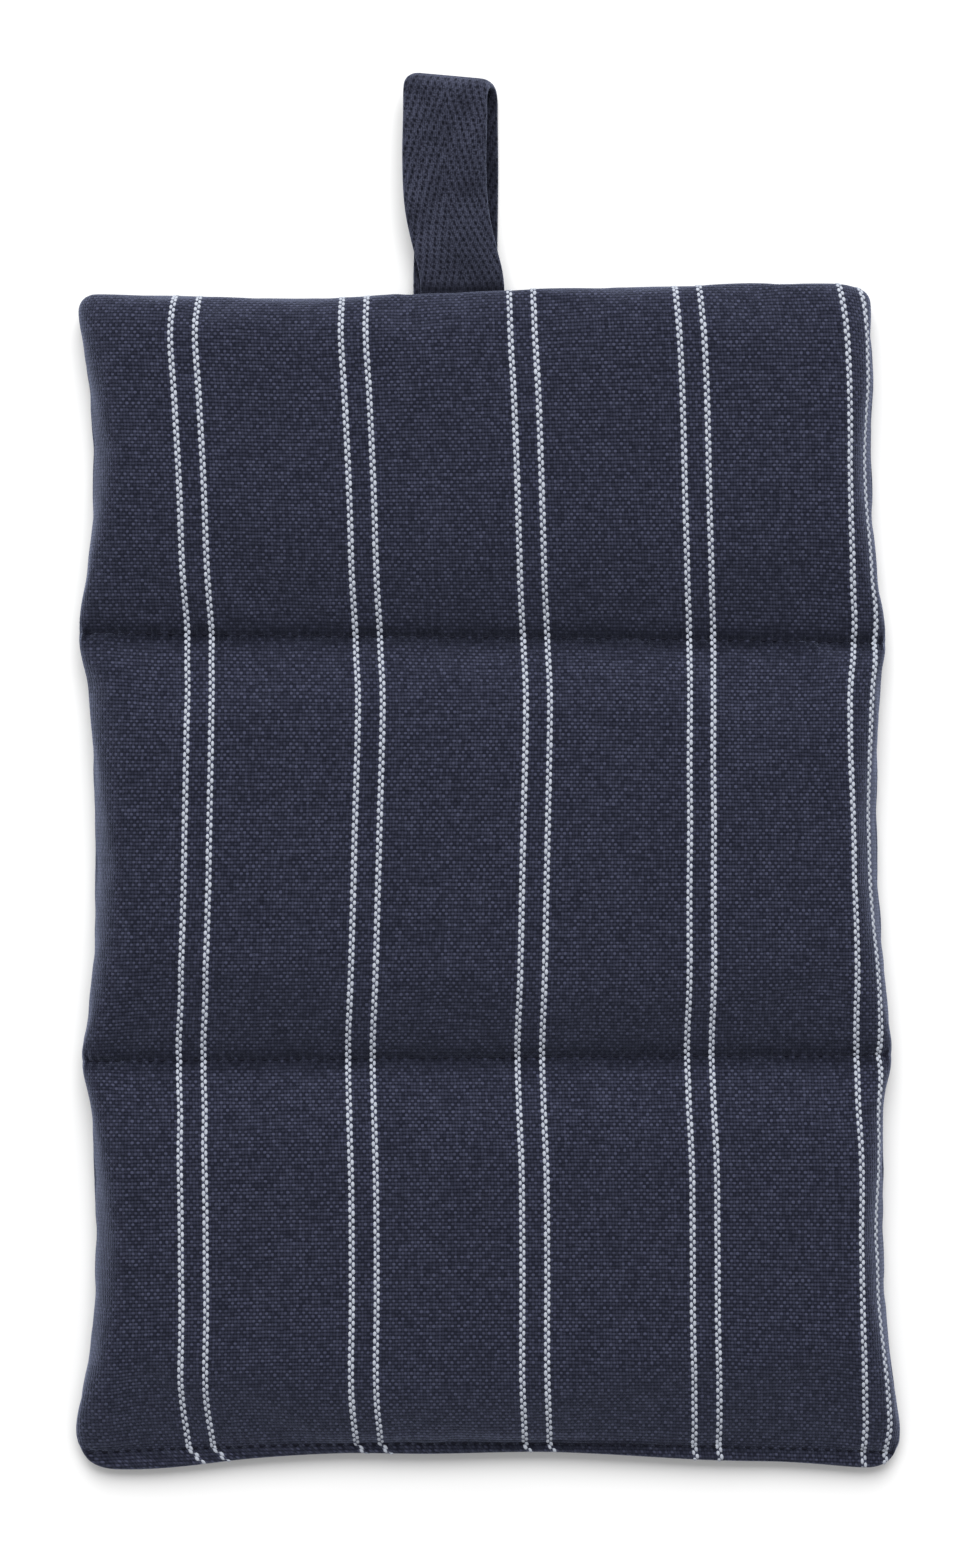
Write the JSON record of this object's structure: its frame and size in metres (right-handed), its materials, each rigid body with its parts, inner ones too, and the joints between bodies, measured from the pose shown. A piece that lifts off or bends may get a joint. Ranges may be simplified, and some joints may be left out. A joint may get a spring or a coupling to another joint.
{
  "type": "quilted pot holder",
  "caption": "Long filled cloth pot holder with crowned panels between sewn rows, a stitched hem and a tape loop at one end to hang it by.",
  "frame": {"origin": "middle of the pad, on the flat of its underside, where the middle panel rests on the surface", "axes": "+Y towards the end with the hanging loop, +X to the right of the face, +Z out of the face, up"},
  "size_m": [0.1969, 0.3334, 0.0126],
  "materials": {
    "canvas": "plain-woven navy cotton canvas with pairs of white pinstripes, matt",
    "tape": "herringbone cotton tape, dark grey-blue, matt"
  },
  "bodies": {
    "root": {"quilted_pad": "canvas", "hanging_loop": "tape"}
  },
  "joints": []
}
